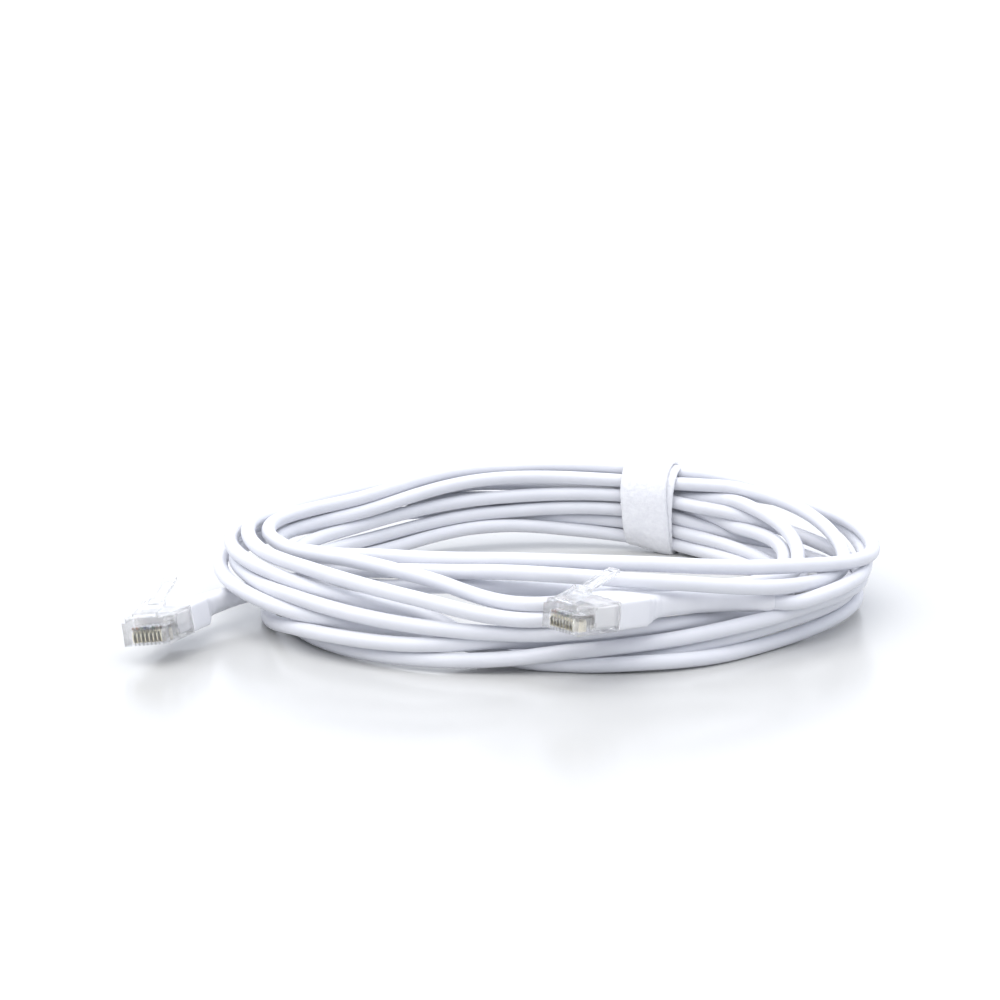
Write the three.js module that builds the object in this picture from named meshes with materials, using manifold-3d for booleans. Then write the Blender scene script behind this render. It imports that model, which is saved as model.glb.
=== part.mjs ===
// An Ethernet patch cable, wound into a loose coil and held by a hook-and-loop tie.
// Millimetres, +Z up, standing on z = 0. +X runs along the longer side of the coil, +Y to its tied side.
// Each end carries an 8P8C plug: a clear housing, its latch, eight contacts, eight conductors,
// the block that the conductors are moulded into, and the boot.
import * as THREE from "three";
import { mergeVertices } from "three/addons/utils/BufferGeometryUtils.js";
import Module from "manifold-3d";

const wasm = await Module();
wasm.setup();

// ---- driving dimensions -------------------------------------------------------------------------

const degrees = THREE.MathUtils.degToRad;

const GAP = 0.3; // between pieces that touch on the real cable

const CABLE_DIAMETER = 3.55;

// Plug, in its own frame: y runs from the nose into the cable, x across the contacts, z up to the latch.
const PLUG_WIDTH = 11.68;
const PLUG_HEIGHT = 6.6;
const CLEAR_LENGTH = 12.4; // from the nose to the boot
const TONGUE = { width: 10.5, height: 5.7, end: 20.5 }; // the housing's narrower rear, inside the boot
const CAVITY = { width: 9.9, height: 5.1, front: 5.4 }; // open at the rear, for the moulded block
const CONTACT_COUNT = 8;
const CONTACT_PITCH = 1.02;
const SLOT = { width: 0.56, length: 5, height: 3.55 };
const BLADE = { thickness: 0.36, front: 0.35, back: 3.6, bottom: 0.5, top: 3.4 };
const WIRE = { diameter: 0.72, bore: 0.92, height: 3.9, front: 0.7 };
const LATCH = { rampWidth: 6, armWidth: 3.3, shoulder: 6.1, tip: 15.7, hinge: [0, 0.9, 6.9] };
const LATCH_SEAT = { back: 2.1, floor: 6.2 }; // the notch in the housing that the latch's root sits in

// Boot sections: distance from the front face, half width, half height, squareness (2 is round).
const BOOT_FRONT = CLEAR_LENGTH + GAP;
const BOOT_SECTIONS = [
  [0, 5.9, 3.5, 9],
  [8.5, 5.9, 3.5, 9],
  [10.5, 5.2, 3.3, 6],
  [13, 3.9, 3, 4],
  [16, 3.2, 2.8, 3],
  [20, 2.8, 2.7, 2.4],
  [30, 2.55, 2.5, 2],
  [44.5, 2.25, 2.25, 2],
  [46.5, 1.95, 1.95, 2],
];
const BOOT_TUNNEL = 8; // room for the tail among the turns
const BOOT_RINGS = 26;
const BOOT_SIDES = 24;
const BOOT_BEND = { start: 11, angle: degrees(36) };

// Where each plug lies: the middle of its nose's lower edge, its heading, its roll and its pitch.
const PLUG_PLACES = {
  a: { nose: [-84.8, -50.1, 4.9], heading: degrees(19), roll: degrees(-9), pitch: degrees(-3) },
  b: { nose: [8.3, -69.1, 13.5], heading: degrees(49), roll: degrees(0), pitch: degrees(-4.5) },
};

// The coil: the middle of its ring, and the outline of its section at each bearing from +X.
const COIL_CENTRE = [6.9, 5];
const COIL_OUTLINE = [
  { bearing: 0, inner: 55, outer: 84.5, top: 16.5 },
  { bearing: 30, inner: 59, outer: 80.5, top: 20 },
  { bearing: 48, inner: 59.7, outer: 69, top: 23 },
  { bearing: 62, inner: 59.5, outer: 68, top: 23.4 },
  { bearing: 76, inner: 57, outer: 68, top: 24 },
  { bearing: 90, inner: 54.8, outer: 68.5, top: 24.2 },
  { bearing: 120, inner: 53.7, outer: 68, top: 24.7 },
  { bearing: 150, inner: 54.6, outer: 72, top: 24.3 },
  { bearing: 180, inner: 54.3, outer: 84.5, top: 21.7 },
  { bearing: 210, inner: 48, outer: 78, top: 20.8 },
  { bearing: 240, inner: 43.5, outer: 69, top: 23.2 },
  { bearing: 270, inner: 49, outer: 67, top: 26 },
  { bearing: 300, inner: 51.2, outer: 66.4, top: 24.7 },
  { bearing: 330, inner: 52.4, outer: 74.5, top: 20.9 },
];
const COIL_SEGMENTS = 90;

// The uncoiled cable between each boot and the coil, from the middle of the coil.
const LEAD_ROUTES = {
  a: [
    [-55, 2, 4.6],
    [-52.6, 7, 3.2],
    [-51.6, 13, 2.3],
    [-51.5, 20, 1.9],
  ],
  b: [
    [58, -43.6, 12.2],
    [63, -40.2, 12.8],
    [67.8, -34.5, 12.9],
    [71.5, -28, 12.7],
    [74.8, -20, 12.4],
    [76.8, -12, 12.2],
  ],
};
const LEAD_SIDES = 8;
const LEAD_STEPS = 10;
const LEAD_TUNNEL = (CABLE_DIAMETER + 2 * GAP) / Math.cos(Math.PI / LEAD_SIDES); // room for its corners

// The tie: a band square to the bundle of turns, and its end, lapped over the inner side and the top.
const TIE = {
  bearing: degrees(62),
  reach: 63.6,
  turn: degrees(70),
  depth: 8,
  top: 23.4,
  width: 12.7,
  thickness: 1,
};
const TIE_FLAP = { thickness: 0.9, bottom: 1.6, tail: 5 };

const COLOURS = {
  jacket: 0xf2f3f5,
  boot: 0xf0f1f3,
  clear: 0xe4e9ee,
  gold: 0xd9a941,
  block: 0xeeeeec,
  tie: 0xe6e7ea,
  wires: [0xf2d9b8, 0xe08a3c, 0xcfe8d2, 0x3f68b8, 0xc9d6f0, 0x4c9c57, 0xdccbb8, 0x7a4c2c],
};

// ---- solids ---------------------------------------------------------------------------------------

function toSolid(geometry) {
  const plain = geometry.clone();
  plain.deleteAttribute("normal");
  plain.deleteAttribute("uv");
  const merged = mergeVertices(plain, 1e-4);
  return new wasm.Manifold(
    new wasm.Mesh({
      numProp: 3,
      vertProperties: merged.attributes.position.array,
      triVerts: new Uint32Array(merged.index.array),
    }),
  );
}

function toGeometry(solid) {
  const mesh = solid.getMesh();
  const geometry = new THREE.BufferGeometry();
  geometry.setAttribute("position", new THREE.BufferAttribute(mesh.vertProperties, 3));
  geometry.setIndex(new THREE.BufferAttribute(mesh.triVerts, 1));
  geometry.computeVertexNormals();
  return geometry;
}

function cut(base, tools) {
  return toGeometry(tools.reduce((left, tool) => left.subtract(toSolid(tool)), toSolid(base)));
}

function join(pieces) {
  return toGeometry(pieces.map(toSolid).reduce((whole, piece) => whole.add(piece)));
}

// A box given by its limits along x, y and z.
function block([x0, x1], [y0, y1], [z0, z1]) {
  const geometry = new THREE.BoxGeometry(x1 - x0, y1 - y0, z1 - z0);
  return geometry.translate((x0 + x1) / 2, (y0 + y1) / 2, (z0 + z1) / 2);
}

const across = (width) => [-width / 2, width / 2];

// A plate whose side outline is given as [y, z] points, as wide as asked and centred on x = 0.
function plate(outline, width) {
  const shape = new THREE.Shape(outline.map(([y, z]) => new THREE.Vector2(y, z)));
  const geometry = new THREE.ExtrudeGeometry(shape, { depth: width, bevelEnabled: false });
  geometry.translate(0, 0, -width / 2);
  geometry.rotateY(Math.PI / 2);
  return geometry.rotateX(Math.PI / 2);
}

// A round bar along y.
function bar(diameter, y0, y1, x, z, sides) {
  const geometry = new THREE.CylinderGeometry(diameter / 2, diameter / 2, y1 - y0, sides);
  return geometry.translate(x, (y0 + y1) / 2, z);
}

// A tube of the cable along a smooth line through the given points.
function tube(points, diameter, steps) {
  const section = new THREE.Shape();
  for (let i = 0; i < LEAD_SIDES; i++) {
    const turn = ((i + 0.5) * 2 * Math.PI) / LEAD_SIDES;
    const point = [(Math.cos(turn) * diameter) / 2, (Math.sin(turn) * diameter) / 2];
    if (i === 0) section.moveTo(...point);
    else section.lineTo(...point);
  }
  const path = new THREE.CatmullRomCurve3(points);
  return new THREE.ExtrudeGeometry(section, { extrudePath: path, steps, bevelEnabled: false });
}

function piece(name, geometry, colour, roughness, extra = {}) {
  const material = new THREE.MeshStandardMaterial({ color: colour, roughness, ...extra });
  const mesh = new THREE.Mesh(geometry, material);
  mesh.name = name;
  return mesh;
}

// ---- plug -----------------------------------------------------------------------------------------

const contactX = (i) => (i - (CONTACT_COUNT - 1) / 2) * CONTACT_PITCH;
const contactNumbers = Array.from({ length: CONTACT_COUNT }, (_, i) => i);
const midHeight = PLUG_HEIGHT / 2;
const around = (middle, height) => [middle - height / 2, middle + height / 2];

function housing() {
  const body = join([
    block(across(PLUG_WIDTH), [0, CLEAR_LENGTH], [0, PLUG_HEIGHT]),
    block(across(TONGUE.width), [CLEAR_LENGTH - 1, TONGUE.end], around(midHeight, TONGUE.height)),
  ]);
  const latchSeat = block(
    across(LATCH.rampWidth + 2 * GAP),
    [-1, LATCH_SEAT.back],
    [LATCH_SEAT.floor, PLUG_HEIGHT + 1],
  );
  const cavity = block(
    across(CAVITY.width),
    [CAVITY.front, TONGUE.end + 1],
    around(midHeight, CAVITY.height),
  );
  const slots = contactNumbers.map((i) =>
    block(
      [contactX(i) - SLOT.width / 2, contactX(i) + SLOT.width / 2],
      [-1, SLOT.length],
      [-1, SLOT.height],
    ),
  );
  const bores = contactNumbers.map((i) =>
    bar(WIRE.bore, WIRE.front, CAVITY.front + 0.5, contactX(i), WIRE.height, 12),
  );
  return cut(body, [latchSeat, cavity, ...slots, ...bores]);
}

// The latch at rest: a wide ramp from the nose up to the shoulder, then the narrow finger arm.
function latch() {
  const ramp = [
    [0.2, 6.55],
    [1.3, 6.55],
    [1.7, 6.95],
    [LATCH.shoulder, 8.05],
    [LATCH.shoulder, 9],
    [1.2, 7.4],
    [0.2, 7.1],
  ];
  const arm = [
    [LATCH.shoulder - 0.6, 7.9],
    [LATCH.tip, 11.95],
    [LATCH.tip, 12.75],
    [LATCH.shoulder - 0.6, 8.75],
  ];
  const geometry = join([plate(ramp, LATCH.rampWidth), plate(arm, LATCH.armWidth)]);
  return geometry.translate(...LATCH.hinge.map((value) => -value));
}

function contactBlade() {
  const outline = [
    [BLADE.front + 0.5, BLADE.bottom],
    [BLADE.back, BLADE.bottom],
    [BLADE.back, BLADE.top - 0.7],
    [BLADE.back - 0.5, BLADE.top],
    [BLADE.back - 1, BLADE.top - 0.7],
    [BLADE.front + 1.3, BLADE.top - 0.7],
    [BLADE.front + 0.8, BLADE.top],
    [BLADE.front + 0.3, BLADE.top - 0.7],
    [BLADE.front, BLADE.top - 0.9],
    [BLADE.front, BLADE.bottom + 0.6],
  ];
  return plate(outline, BLADE.thickness);
}

function mouldedBlock() {
  const clearance = 2 * GAP;
  return block(
    across(CAVITY.width - clearance),
    [CAVITY.front + GAP, TONGUE.end - GAP],
    around(midHeight, CAVITY.height - clearance),
  );
}

// A value between listed stations, eased so that it leaves and reaches each one flat.
function between(stations, position, column) {
  let next = 1;
  while (next < stations.length - 1 && stations[next][0] < position) next++;
  const [from, to] = [stations[next - 1], stations[next]];
  const ease = THREE.MathUtils.smoothstep(position, from[0], to[0]);
  return THREE.MathUtils.lerp(from[column], to[column], ease);
}

// The boot's middle line: straight, then one arc towards +x. Gives the point and the heading there.
const bootLength = BOOT_SECTIONS.at(-1)[0];
const bendRadius = (bootLength - BOOT_BEND.start) / BOOT_BEND.angle;
function bootLine(distance) {
  const heading = Math.max(0, distance - BOOT_BEND.start) / bendRadius;
  const straight = Math.min(distance, BOOT_BEND.start);
  const x = bendRadius * (1 - Math.cos(heading));
  const y = BOOT_FRONT + straight + bendRadius * Math.sin(heading);
  return { point: new THREE.Vector3(x, y, midHeight), heading };
}

function boot() {
  const geometry = new THREE.CylinderGeometry(1, 1, 1, BOOT_SIDES, BOOT_RINGS);
  const place = geometry.attributes.position;
  for (let i = 0; i < place.count; i++) {
    const distance = (0.5 + place.getY(i)) * bootLength;
    const halfWidth = between(BOOT_SECTIONS, distance, 1);
    const halfHeight = between(BOOT_SECTIONS, distance, 2);
    const power = 2 / between(BOOT_SECTIONS, distance, 3);
    const [u, v] = [place.getX(i), place.getZ(i)].map((value) => Math.round(value * 1e6) / 1e6);
    const sideways = Math.sign(u) * Math.abs(u) ** power * halfWidth;
    const upward = Math.sign(v) * Math.abs(v) ** power * halfHeight;
    const { point, heading } = bootLine(distance);
    point.x += sideways * Math.cos(heading);
    point.y -= sideways * Math.sin(heading);
    place.setXYZ(i, point.x, point.y, point.z + upward);
  }
  const socket = block(
    across(TONGUE.width + 2 * GAP),
    [0, TONGUE.end + GAP],
    around(midHeight, TONGUE.height + 2 * GAP),
  );
  return cut(geometry, [socket]);
}

const plugShapes = {
  housing: housing(),
  latch: latch(),
  boot: boot(),
  block: mouldedBlock(),
  blade: contactBlade(),
};

function plug(letter, { nose, heading, roll, pitch }) {
  const name = (part) => `plug_${letter}_${part}`;
  const glass = { transparent: true, opacity: 0.45 };
  const group = new THREE.Group();
  group.position.set(...nose);
  group.rotation.set(pitch, roll, -heading, "ZXY");
  group.add(piece(name("housing"), plugShapes.housing, COLOURS.clear, 0.1, glass));
  const latchMesh = piece(name("latch"), plugShapes.latch, COLOURS.clear, 0.1, glass);
  latchMesh.position.set(...LATCH.hinge);
  group.add(latchMesh);
  group.add(piece(name("boot"), plugShapes.boot, COLOURS.boot, 0.4));
  group.add(piece(name("wire_block"), plugShapes.block, COLOURS.block, 0.6));
  for (const i of contactNumbers) {
    const gold = { metalness: 1 };
    const blade = piece(name(`contact_${i + 1}`), plugShapes.blade, COLOURS.gold, 0.25, gold);
    blade.position.x = contactX(i);
    const wireShape = bar(
      WIRE.diameter,
      WIRE.front + GAP,
      CAVITY.front,
      contactX(i),
      WIRE.height,
      10,
    );
    group.add(blade, piece(name(`wire_${i + 1}`), wireShape, COLOURS.wires[i], 0.5));
  }
  group.updateMatrixWorld(true);
  return group;
}

// ---- coil, leads and tie ----------------------------------------------------------------------------

const onCoil = ([x, y, z]) => new THREE.Vector3(x + COIL_CENTRE[0], y + COIL_CENTRE[1], z);

function outlineAt(bearing) {
  const last = COIL_OUTLINE.length - 1;
  let index = COIL_OUTLINE.findIndex((station) => station.bearing > bearing) - 1;
  if (index < 0) index = last;
  const from = COIL_OUTLINE[index];
  const to = COIL_OUTLINE[(index + 1) % COIL_OUTLINE.length];
  const span = (to.bearing - from.bearing + 360) % 360;
  const ease = THREE.MathUtils.smoothstep((bearing - from.bearing) / span, 0, 1);
  const mix = (key) => THREE.MathUtils.lerp(from[key], to[key], ease);
  return { inner: mix("inner"), outer: mix("outer"), top: mix("top") };
}

// A ring turned from a section with blunt corners, then shaped to the coil's outline at each bearing.
function coilRing() {
  const corner = 0.72; // of the half size
  const section = [
    [-1, -corner],
    [-corner, -1],
    [corner, -1],
    [1, -corner],
    [1, corner],
    [corner, 1],
    [-corner, 1],
    [-1, corner],
    [-1, -corner],
  ].map(([u, v]) => new THREE.Vector2(2 + u, v));
  const geometry = new THREE.LatheGeometry(section, COIL_SEGMENTS).rotateX(Math.PI / 2);
  const place = geometry.attributes.position;
  for (let i = 0; i < place.count; i++) {
    const angle = Math.atan2(place.getY(i), place.getX(i));
    const bearing = (THREE.MathUtils.radToDeg(angle) + 360) % 360;
    const { inner, outer, top } = outlineAt(bearing);
    const outward = (Math.hypot(place.getX(i), place.getY(i)) - 1) / 2;
    const reach = THREE.MathUtils.lerp(inner, outer, outward);
    const height = ((place.getZ(i) + 1) / 2) * top;
    const point = onCoil([reach * Math.cos(angle), reach * Math.sin(angle), height]);
    place.setXYZ(i, ...point);
  }
  return geometry;
}

// Puts a shape drawn as [outwards, along the cable, height] round the middle of the bundle at the tie.
function atTie(geometry) {
  geometry.rotateZ(TIE.turn);
  const middle = [TIE.reach * Math.cos(TIE.bearing), TIE.reach * Math.sin(TIE.bearing), 0];
  return geometry.translate(...onCoil(middle));
}

function tieWindow(shrink) {
  return block(
    across(TIE.depth - 2 * shrink),
    across(TIE.width + 10),
    [TIE.thickness + shrink, TIE.top - shrink],
  );
}

function tieBand() {
  const outside = block(
    across(TIE.depth + 2 * TIE.thickness),
    across(TIE.width),
    [0, TIE.top + TIE.thickness],
  );
  return atTie(cut(outside, [tieWindow(0)]));
}

function tieFlap() {
  const bandTop = TIE.top + TIE.thickness + GAP;
  const bandSide = TIE.depth / 2 + TIE.thickness + GAP;
  const top = bandTop + TIE_FLAP.thickness;
  const side = bandSide + TIE_FLAP.thickness;
  return atTie(
    join([
      block([-side, bandSide + TIE_FLAP.tail], across(TIE.width), [bandTop, top]),
      block([-side, -bandSide], across(TIE.width), [TIE_FLAP.bottom, top]),
    ]),
  );
}

// What a plug and its latch need clear of the coil's ring, from the nose to the boot's narrow part.
function plugClearance(matrix) {
  const [, halfWidth, halfHeight] = BOOT_SECTIONS[0];
  const room = block(
    across(2 * halfWidth + 4 * GAP),
    [-1, BOOT_FRONT + 16],
    [midHeight - halfHeight - 2 * GAP, 2 * PLUG_HEIGHT],
  );
  return room.applyMatrix4(matrix);
}

// What the tie needs clear of the coil's ring: all round it except through its window.
function tieClearance() {
  const reach = 20;
  const outside = block(
    across(TIE.depth + 2 * reach),
    across(TIE.width + 2 * GAP),
    [-1, TIE.top + reach],
  );
  return atTie(cut(outside, [tieWindow(GAP)]));
}

// ---- assembly ---------------------------------------------------------------------------------------

const cable = new THREE.Group();
const ringCuts = [tieClearance()];

for (const [letter, place] of Object.entries(PLUG_PLACES)) {
  const group = plug(letter, place);
  cable.add(group);

  // The lead starts square to the boot's end and runs on to the coil.
  const { point, heading } = bootLine(bootLength);
  const out = new THREE.Vector3(Math.sin(heading), Math.cos(heading), 0);
  const start = [GAP, 4].map((step) =>
    out.clone().multiplyScalar(step).add(point).applyMatrix4(group.matrixWorld),
  );
  const route = [...start, ...LEAD_ROUTES[letter].map(onCoil)];
  const lead = tube(route, CABLE_DIAMETER, LEAD_STEPS);
  cable.add(piece(`cable_lead_${letter}`, lead, COLOURS.jacket, 0.35));

  // Room in the ring for the lead, and for the boot where it lies among the turns.
  const end = route.at(-1).clone();
  end.add(end.clone().sub(route.at(-2)).setLength(GAP));
  ringCuts.push(tube([...route, end], LEAD_TUNNEL, LEAD_STEPS));
  const bootPoints = [12, 20, 28, 37, bootLength + 1].map((distance) =>
    bootLine(distance).point.applyMatrix4(group.matrixWorld),
  );
  ringCuts.push(tube(bootPoints, BOOT_TUNNEL, LEAD_STEPS), plugClearance(group.matrixWorld));
}

const tieMesh = piece("tie_band", tieBand(), COLOURS.tie, 0.9);
const flapMesh = piece("tie_flap", tieFlap(), COLOURS.tie, 0.9);
const coilMesh = piece("cable_coil", cut(coilRing(), ringCuts), COLOURS.jacket, 0.35);
cable.add(coilMesh, tieMesh, flapMesh);

export default cable;
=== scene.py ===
"""The looks of a coiled Ethernet patch cable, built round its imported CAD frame.

Sizes are in millimetres in the frame's own axes. MM turns them into Blender's metres.
A plug has its own frame too: y runs from the nose into the cable, x across the contacts, z up to the latch.
"""

import math

import bmesh
import bpy
import numpy as np
from mathutils import Euler, Matrix, Vector


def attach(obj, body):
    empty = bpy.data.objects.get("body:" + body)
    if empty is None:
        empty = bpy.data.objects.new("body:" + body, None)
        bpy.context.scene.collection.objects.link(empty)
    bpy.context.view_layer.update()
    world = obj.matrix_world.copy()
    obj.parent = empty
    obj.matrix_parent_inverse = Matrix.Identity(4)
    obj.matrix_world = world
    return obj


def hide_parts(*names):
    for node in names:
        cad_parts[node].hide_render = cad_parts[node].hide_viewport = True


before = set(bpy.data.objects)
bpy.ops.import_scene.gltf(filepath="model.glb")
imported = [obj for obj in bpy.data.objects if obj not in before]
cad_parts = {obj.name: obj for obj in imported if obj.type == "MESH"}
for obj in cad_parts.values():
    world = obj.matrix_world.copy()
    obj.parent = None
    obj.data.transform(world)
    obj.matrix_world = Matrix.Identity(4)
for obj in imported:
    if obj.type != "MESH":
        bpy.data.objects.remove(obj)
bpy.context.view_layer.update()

MM = 0.001
SEED = 11
rng = np.random.default_rng(SEED)

# ---- camera and light -------------------------------------------------------------------------------

CAMERA_PLACE = (-4.8, -597.0, 161.0)
CAMERA_DOWN = 12.6
CAMERA_LENS = 90
SENSOR_WIDTH = 36

KEY_WAY = (0.22, 0.22, -1)
KEY_STRENGTH = 1.95
KEY_SPREAD = math.radians(75)
KEY_COLOUR = (1, 0.97, 0.92)
SKY_COLOUR = (0.88, 0.915, 1, 1)
# The sky's strength rises along an axis: between these two places, from the first level to the second.
SKY_RISES = (
    ("Y", (-0.7, 0.95), (0.9, 1.42)),
    ("Z", (0.2, 1), (0, 0.3)),
)
FLOOR_REACH = 20000

# ---- dimensions -------------------------------------------------------------------------------------

CABLE_DIAMETER = 3.55
CABLE_SIDES = 20
CABLE_STEP = 1.8
# The jacket's slight unevenness: its share of the radius, and each wave's period and phase.
CABLE_RIPPLE = 0.004
CABLE_WAVES = ((7.3, 0.4), (11.9, 2.1), (23, 5.2))
CURVE_POINTS = 8000
# The spacing of the lead's points at a boot's end.
LEAD_STEP = 4
COIL_CENTRE = np.array([6.9, 5.0, 0.0])

PLUG_PLACES = {
    "a": {"nose": (-84.8, -50.1, 4.9), "heading": 19, "roll": -9, "pitch": -3},
    "b": {"nose": (8.3, -69.1, 13.5), "heading": 49, "roll": 0, "pitch": -4.5},
}
PLUG_WIDTH = 11.68
PLUG_HEIGHT = 6.6
CLEAR_LENGTH = 12.4
CONTACT_COUNT = 8
CONTACT_PITCH = 1.02
GAP = 0.3
TONGUE_WIDTH = 10.5
TONGUE_HEIGHT = 5.7
TONGUE_END = 20.5
CAVITY_WIDTH = 9.9
CAVITY_HEIGHT = 5.1
CAVITY_FRONT = 5.4
SLOT_WIDTH = 0.56
SLOT_LENGTH = 5
SLOT_HEIGHT = 3.55
SLOT_WEB = 0.22
WINDOW_OVERRUN = 0.1
LOW_WINDOW_TOP = 1.9
HIGH_WINDOW_BOTTOM = 2.8
BAR_RADIUS = 0.4
BAR_PLACE = (0.1, 2.35)
BAR_HALF_WIDTH = 4.3
BAR_SIDES = 14
WIRE_DIAMETER = 0.72
WIRE_BORE = 0.92
WIRE_HEIGHT = 3.9
WIRE_FRONT = 0.7
WIRE_SEAT = 0.5
WIRE_SIDES = 20
BORE_SIDES = 12
SHOULDER_WIDTH = 0.95
SHOULDER_DROP = 1.15
SHOULDER_BACK = 5.4
NOTCH_DEPTH = 0.35
NOTCH_ALONG = (4.1, 5.3)
NOTCH_UP = (1.2, 2.5)
SLIT_HALF_WIDTH = 2.6
SLIT_ALONG = (8.1, 9.5)
SLIT_DEPTH = 0.45
SHELL_EDGE = 0.09

LATCH_HALF_WIDTH = 3
LATCH_SEAT_BACK = 2.1
LATCH_SEAT_FLOOR = 6.2
ARM_HALF_WIDTH = 1.65
PANEL_HALF_WIDTH = 0.95
WEB_HALF_WIDTH = 1.9
HORN_HALF_WIDTH = 0.35
HORN_OFFSET = 2.55
LATCH_EDGE = 0.1

GROOVE_HALF_WIDTH = 0.3
GROOVE_LENGTH = 3
GROOVE_DEPTH = 0.5
BLOCK_EDGE = 0.12
# A conductor's core starts this far behind WIRE_FRONT and runs this far into its insulation.
CORE_START = 0.1
CORE_SEAT = 0.2
CORE_RADIUS = 0.2
CORE_SIDES = 16
WIRE_EDGE = 0.05
# How far a cut runs past the face it opens, and the tongue into the front of the housing.
PAST = 1

# Boot sections: distance from the front face, half width, half height, squareness (2 is round).
BOOT_FRONT = 12.7
BOOT_SECTIONS = (
    (0, 5.84, 3.45, 9),
    (8.5, 5.84, 3.45, 9),
    (10.5, 5.1, 3.25, 6),
    (13, 3.9, 3, 4),
    (16, 3.2, 2.8, 3),
    (20, 2.8, 2.7, 2.4),
    (30, 2.55, 2.5, 2),
    (44.5, 2.25, 2.25, 2),
    (46.5, 1.95, 1.95, 2),
)
BOOT_LENGTH = BOOT_SECTIONS[-1][0]
BOOT_RINGS = 96
BOOT_SIDES = 64
# A boot's rounded ends: distance from the end, and how far the ring there is drawn in.
BOOT_FRONT_EDGE = ((0, 0.3), (0.12, 0.12), (0.4, 0))
BOOT_BACK_EDGE = ((0.45, 0.07), (0.15, 0.2), (0, 0.45))
BOOT_EDGE_LENGTH = 0.8
# The balls that stand for a boot: their spacing, how far short of its end they stop, and where they
# lie across it.
BALL_STEP = 1.5
BALL_STOP = 3
BALL_SHARES = (-1, -0.5, 0, 0.5, 1)
BOOT_BEND_START = 11
BOOT_BEND_ANGLE = math.radians(36)

# The uncoiled cable between each boot and the coil, from the middle of the coil.
LEAD_ROUTES = {
    "a": ((-55, 2, 4.6), (-52.6, 7, 3.2), (-51.6, 13, 2.3), (-51.5, 20, 1.9)),
    "b": (
        (58, -43.6, 12.2),
        (63, -40.2, 12.8),
        (67.8, -34.5, 12.9),
        (71.5, -28, 12.7),
        (74.8, -20, 12.4),
        (76.8, -12, 12.2),
    ),
}
# Where the coil takes the first lead over and hands on to the last: bearing from +X, reach and height.
COIL_START = ((140, 60, 2.4), (120, 63, 4.6), (105, 64, 5.2), (62, 65.4, 3.2))
COIL_END = ((28, 79, 16.5),)

# Each turn runs clockwise through these bearings, at a reach from the coil's middle and a height.
TURN_BEARINGS = (28, -5, -38, -68, -98, -120, -145, -162, -182, -215, -255, -298)
TURNS = (
    ((74.5, 3), (76, 4), (66, 1.8), (64, 1.8), (59, 1.8), (57, 9.5),
     (68, 13.5), (75, 15.8), (78, 17), (63.5, 19.6), (67, 18.8), (65.4, 17.7)),
    ((77.5, 16.5), (79.5, 14), (67, 19.5), (56.5, 23.2), (51, 23.4), (45.5, 20.5),
     (49.5, 18), (55, 16), (67, 15), (57, 16.2), (57.5, 19.7), (61.8, 18.3)),
    ((72, 17), (73, 13.5), (70.5, 16), (61, 20.3), (55, 21.8), (48.5, 19),
     (50, 16.5), (54, 13.5), (62, 12.5), (57.5, 12.7), (57, 14.6), (61.8, 14.7)),
    ((71.5, 10.5), (77, 9.5), (69.5, 10.3), (61.5, 5.3), (61, 1.8), (65.5, 1.8),
     (66.8, 1.8), (65.5, 1.8), (62.5, 1.8), (56, 2.2), (56.5, 7.3), (61.8, 3.9)),
    ((61.5, 1.8), (57, 1.8), (54, 2.5), (53, 5), (56.5, 5.3), (66.5, 5.5),
     (72, 5.2), (70.5, 2), (67, 1.8), (60.5, 2.2), (60.5, 6.3), (61.8, 7.5)),
    ((63.5, 3.8), (59, 4.5), (58.5, 8.2), (59, 9.7), (61, 9.4), (66, 10.5),
     (71.5, 12.2), (75, 12.8), (77.5, 13.3), (66, 12.7), (62.5, 10.7), (65.4, 6.7)),
    ((67.7, 6), (62, 8), (54.5, 11), (50.5, 14.7), (50, 17), (48.5, 16),
     (51, 12.5), (53, 10.5), (59, 9.5), (57, 8), (57, 10.3), (61.8, 11.1)),
    ((71, 6), (75.5, 6.8), (66.5, 5.3), (60.5, 1.8), (53.5, 1.8), (58, 6.8),
     (72, 9.5), (78.5, 11.3), (79.5, 12.2), (66.5, 16), (62, 13.6), (65.4, 10.4)),
    ((65, 10.3), (58, 9), (58.3, 11.2), (54, 12.6), (62, 12.7), (64, 16.3),
     (67, 18.3), (72, 19), (73.5, 20), (61.5, 16.5), (63, 17.3), (65.4, 14)),
    ((66, 13), (61.5, 11.5), (60, 14.6), (53.5, 16), (60, 15.6), (54.5, 18.1),
     (57, 19.3), (65, 19), (69, 19), (58.5, 19), (63, 20.8), (65.4, 21.2)),
)

# The tie: a band square to the bundle of turns, and its end, lapped over the inner side and the top.
TIE_BEARING = math.radians(62)
TIE_REACH = 63.6
TIE_TURN = math.radians(70)
TIE_DEPTH = 8
TIE_TOP = 23.4
TIE_WIDTH = 12.7
TIE_THICKNESS = 1.0
TIE_BULGE = 0.8
TIE_SLOPE = 2.6
TIE_LIFT = 2.2
TIE_LIFT_HEIGHT = 12
TIE_START = math.radians(15)
TIE_LAP = math.radians(205)
TIE_SQUARENESS = 3.2
TIE_STEPS = 230
TIE_COLUMNS = 30
# The lap climbs on to the layer below: radians before the full turn, radians it takes, and thicknesses.
LAP_EARLY = 0.55
LAP_SPAN = 0.75
LAP_CLIMB = 1.12
TIE_TAIL = 12
TAIL_STEP = 0.6
TAIL_CURL = 0.035
TAIL_DROOP = 0.02
# How the strip wanders sideways along its length: a shift, a weave, and a skew towards its end.
# Starts and spans are shares of the whole length.
TIE_SHIFT = 1.6
SHIFT_START = 0.45
SHIFT_SPAN = 0.35
SHIFT_REST = 0.25
TIE_WEAVE = 0.25
WEAVE_RATE = 17
TIE_SKEW = 4
SKEW_START = 0.86
SKEW_SPAN = 0.16
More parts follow.
